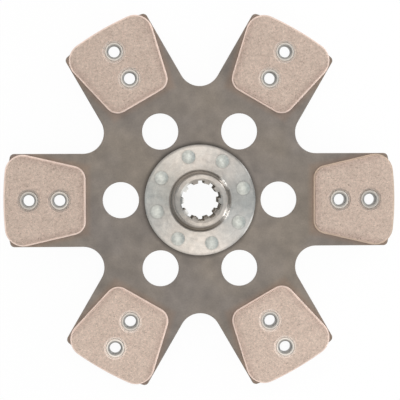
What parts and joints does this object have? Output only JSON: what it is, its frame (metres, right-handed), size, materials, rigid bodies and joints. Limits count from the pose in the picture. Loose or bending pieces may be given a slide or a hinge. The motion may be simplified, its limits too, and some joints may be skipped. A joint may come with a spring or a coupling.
{
  "type": "clutch disc",
  "caption": "Rigid clutch driven disc: splined hub riveted to an armed steel plate, with sintered friction pads riveted to both faces of each arm.",
  "frame": {"origin": "on the hub axis, at the middle of the core plate's thickness", "axes": "+Z along the hub axis, towards the long side of the hub; +X along the first arm; +Y completes the right hand"},
  "size_m": [0.2794, 0.2648, 0.0335],
  "materials": {
    "core_plate": "dull",
    "hub": "turned",
    "hub_rivets": "zinc plated",
    "pad_rivets": "zinc plated",
    "facing": "sintered",
    "backing": "copper plated"
  },
  "bodies": {
    "root": {"core_plate": "core_plate", "hub": "hub", "hub_rivets": "hub_rivets", "pad_rivets": "pad_rivets", "front_backing_1": "backing", "front_facing_1": "facing", "rear_backing_1": "backing", "rear_facing_1": "facing", "front_backing_2": "backing", "front_facing_2": "facing", "rear_backing_2": "backing", "rear_facing_2": "facing", "front_backing_3": "backing", "front_facing_3": "facing", "rear_backing_3": "backing", "rear_facing_3": "facing", "front_backing_4": "backing", "front_facing_4": "facing", "rear_backing_4": "backing", "rear_facing_4": "facing", "front_backing_5": "backing", "front_facing_5": "facing", "rear_backing_5": "backing", "rear_facing_5": "facing", "front_backing_6": "backing", "front_facing_6": "facing", "rear_backing_6": "backing", "rear_facing_6": "facing"}
  },
  "joints": []
}
